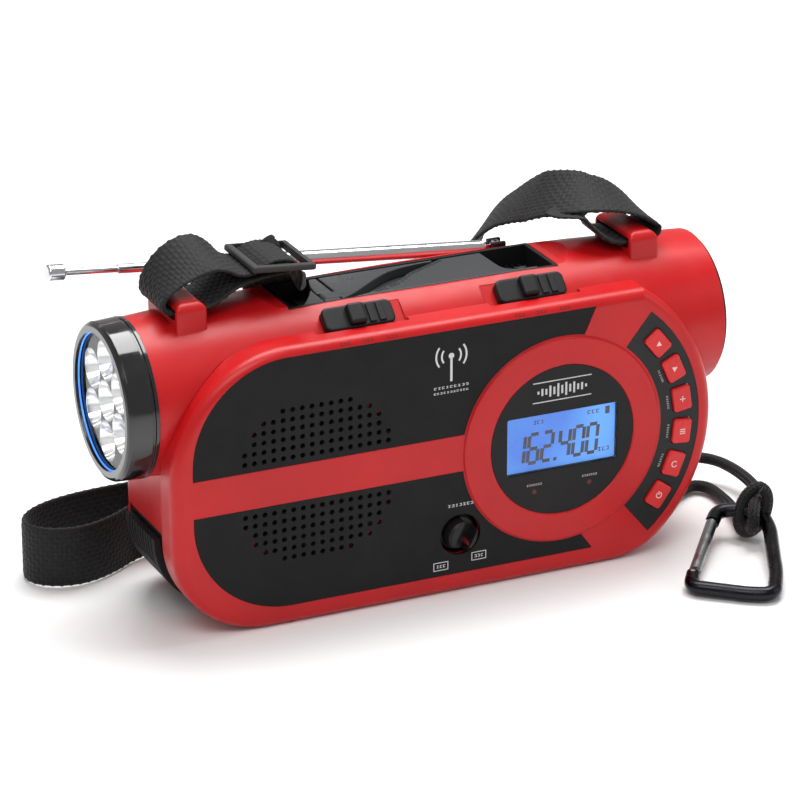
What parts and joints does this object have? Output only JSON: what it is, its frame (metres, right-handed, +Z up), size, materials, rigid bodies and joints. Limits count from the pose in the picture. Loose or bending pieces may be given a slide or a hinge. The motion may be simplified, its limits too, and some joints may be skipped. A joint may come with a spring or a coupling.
{
  "type": "emergency radio",
  "caption": "Hand-crank emergency radio with barrel lamp, siren, round display face, webbing strap, folded whip mast and corded snap hook.",
  "frame": {"origin": "on the ground below the barrel's axis, midway along the barrel between the crank and the lamp: x = 0 lies near the middle of the slab, z = 0 is the surface that the radio stands on", "axes": "+Z up, +X along the barrel from the lamp end to the siren end, +Y from the speaker face to the back"},
  "size_m": [0.2799, 0.1531, 0.1358],
  "materials": {
    "casing_red": "satin moulded plastic",
    "black_plastic": "fine spark-eroded grain",
    "key_red": "polished",
    "gloss_black": "polished",
    "grille_plastic": "fine matte grain",
    "crank_grey": "satin",
    "white_plastic": "satin",
    "clear_window": "clear polished plastic",
    "lcd_glass": "liquid crystal glass",
    "silicone": "matte",
    "soft_rubber": "matte",
    "chrome_plate": "vacuum plated mirror",
    "led_resin": "clear resin",
    "circuit_board": "solder resist",
    "tin_plate": "tinned",
    "steel": "plain",
    "mast_steel": "nickel plated",
    "cell_sleeve": "shrink sleeve",
    "webbing": "woven nylon",
    "braided_cord": "braided nylon",
    "anodised_black": "black anodised",
    "gate_aluminium": "plain satin"
  },
  "bodies": {
    "casing": {"front_shell": "casing_red", "rear_shell": "casing_red", "grille_upper": "grille_plastic", "grille_lower": "grille_plastic", "display_panel": "gloss_black", "lcd_window": "clear_window", "lcd_panel": "lcd_glass", "lcd_backlight": "white_plastic", "key_panel": "black_plastic", "key_mat": "silicone", "selector_switch": "black_plastic", "lamp_switch": "tin_plate", "siren_switch": "tin_plate", "lamp_bezel": "gloss_black", "lamp_lens": "clear_window", "lamp_reflector": "chrome_plate", "led_board": "circuit_board", "led_cluster": "led_resin", "siren_cap": "black_plastic", "siren_horn": "black_plastic", "crank_tray": "black_plastic", "crank_stop": "crank_grey", "crank_pin": "steel", "generator": "tin_plate", "speaker_frame": "tin_plate", "speaker_cone": "silicone", "main_board": "circuit_board", "battery_cells": "cell_sleeve", "feet": "soft_rubber", "case_screws": "steel", "port_panel": "black_plastic", "audio_jack": "black_plastic", "usb_socket": "tin_plate", "strap": "webbing", "strap_slider": "black_plastic", "lanyard_cord": "braided_cord", "carabiner_frame": "anodised_black", "gate_rivet": "steel"},
    "selector": {"selector_knob": "black_plastic"},
    "lamp_switch_slide": {"lamp_slider": "black_plastic"},
    "siren_switch_slide": {"siren_slider": "black_plastic"},
    "crank": {"crank_arm": "crank_grey"},
    "grip": {"crank_grip": "crank_grey"},
    "drive_gear": {"drive_gear": "white_plastic"},
    "idler_gear": {"idler_gear": "white_plastic"},
    "rotor": {"generator_rotor": "steel"},
    "battery_door": {"battery_door": "casing_red"},
    "port_cover": {"port_cover": "soft_rubber"},
    "turret": {"mast_turret": "black_plastic"},
    "mast_root": {"mast_root": "mast_steel"},
    "mast_middle": {"mast_middle": "mast_steel"},
    "mast_upper": {"mast_upper": "mast_steel"},
    "mast_tip": {"mast_tip": "mast_steel"},
    "gate": {"carabiner_gate": "gate_aluminium"},
    "key_1": {"key_1": "key_red"},
    "key_2": {"key_2": "key_red"},
    "key_3": {"key_3": "key_red"},
    "key_4": {"key_4": "key_red"},
    "key_5": {"key_5": "key_red"},
    "key_6": {"key_6": "key_red"}
  },
  "joints": [
    {"name": "key_1_press", "type": "slide", "parent": "casing", "child": "key_1", "axis": [0, 1, 0], "range_m": [0, 0.0008], "stiffness_N_per_m": 300},
    {"name": "key_2_press", "type": "slide", "parent": "casing", "child": "key_2", "axis": [0, 1, 0], "range_m": [0, 0.0008], "stiffness_N_per_m": 300},
    {"name": "key_3_press", "type": "slide", "parent": "casing", "child": "key_3", "axis": [0, 1, 0], "range_m": [0, 0.0008], "stiffness_N_per_m": 300},
    {"name": "key_4_press", "type": "slide", "parent": "casing", "child": "key_4", "axis": [0, 1, 0], "range_m": [0, 0.0008], "stiffness_N_per_m": 300},
    {"name": "key_5_press", "type": "slide", "parent": "casing", "child": "key_5", "axis": [0, 1, 0], "range_m": [0, 0.0008], "stiffness_N_per_m": 300},
    {"name": "key_6_press", "type": "slide", "parent": "casing", "child": "key_6", "axis": [0, 1, 0], "range_m": [0, 0.0008], "stiffness_N_per_m": 300},
    {"name": "selector_turn", "type": "hinge", "parent": "casing", "child": "selector", "pos_m": [0.0075, -0.036, 0.0228], "axis": [0, 1, 0], "range_deg": [-60, 60]},
    {"name": "lamp_slider_travel", "type": "slide", "parent": "casing", "child": "lamp_switch_slide", "axis": [1, 0, 0], "range_m": [-0.004, 0.004]},
    {"name": "siren_slider_travel", "type": "slide", "parent": "casing", "child": "siren_switch_slide", "axis": [1, 0, 0], "range_m": [-0.004, 0.004]},
    {"name": "crank_fold", "type": "hinge", "parent": "casing", "child": "crank", "pos_m": [0.048, 0, 0.1056], "axis": [0, 1, 0], "range_deg": [0, 90]},
    {"name": "grip_fold", "type": "hinge", "parent": "crank", "child": "grip", "pos_m": [-0.0298, 0, 0.1092], "axis": [0, -1, 0], "range_deg": [0, 90]},
    {"name": "drive_gear_spin", "type": "hinge", "parent": "casing", "child": "drive_gear", "pos_m": [0.038, 0, 0.1], "axis": [0, 0, 1], "continuous": true},
    {"name": "idler_gear_spin", "type": "hinge", "parent": "casing", "child": "idler_gear", "pos_m": [0.0164, 0, 0.1], "axis": [0, 0, 1], "continuous": true},
    {"name": "rotor_spin", "type": "hinge", "parent": "casing", "child": "rotor", "pos_m": [0.0044, 0, 0.1], "axis": [0, 0, 1], "continuous": true},
    {"name": "battery_door_slide", "type": "slide", "parent": "casing", "child": "battery_door", "axis": [0, 1, 0], "range_m": [0, 0.012]},
    {"name": "port_cover_hinge", "type": "hinge", "parent": "casing", "child": "port_cover", "pos_m": [-0.1004, 0, 0.031], "axis": [0, 1, 0], "range_deg": [0, 75]},
    {"name": "mast_swivel", "type": "hinge", "parent": "casing", "child": "turret", "pos_m": [0.051, 0.026, 0.1062], "axis": [0, 0, 1], "range_deg": [-25, 0]},
    {"name": "mast_fold", "type": "hinge", "parent": "turret", "child": "mast_root", "pos_m": [0.051, 0.026, 0.1062], "axis": [0, 1, 0], "range_deg": [0, 70]},
    {"name": "mast_middle_slide", "type": "slide", "parent": "mast_root", "child": "mast_middle", "axis": [-0.9956, 0, 0.0941], "range_m": [0, 0.07]},
    {"name": "mast_upper_slide", "type": "slide", "parent": "mast_middle", "child": "mast_upper", "axis": [-0.9956, 0, 0.0941], "range_m": [0, 0.07]},
    {"name": "mast_tip_slide", "type": "slide", "parent": "mast_upper", "child": "mast_tip", "axis": [-0.9956, 0, 0.0941], "range_m": [0, 0.068]},
    {"name": "gate_hinge", "type": "hinge", "parent": "casing", "child": "gate", "pos_m": [0.0862, -0.0674, 0.0043], "axis": [0.085, 0.111, -0.9902], "range_deg": [0, 14], "stiffness_Nm_per_rad": 0.05}
  ],
  "couplings": [
    {"joint": "idler_gear_spin", "follows": "drive_gear_spin", "ratio": -2},
    {"joint": "rotor_spin", "follows": "drive_gear_spin", "ratio": 3}
  ]
}
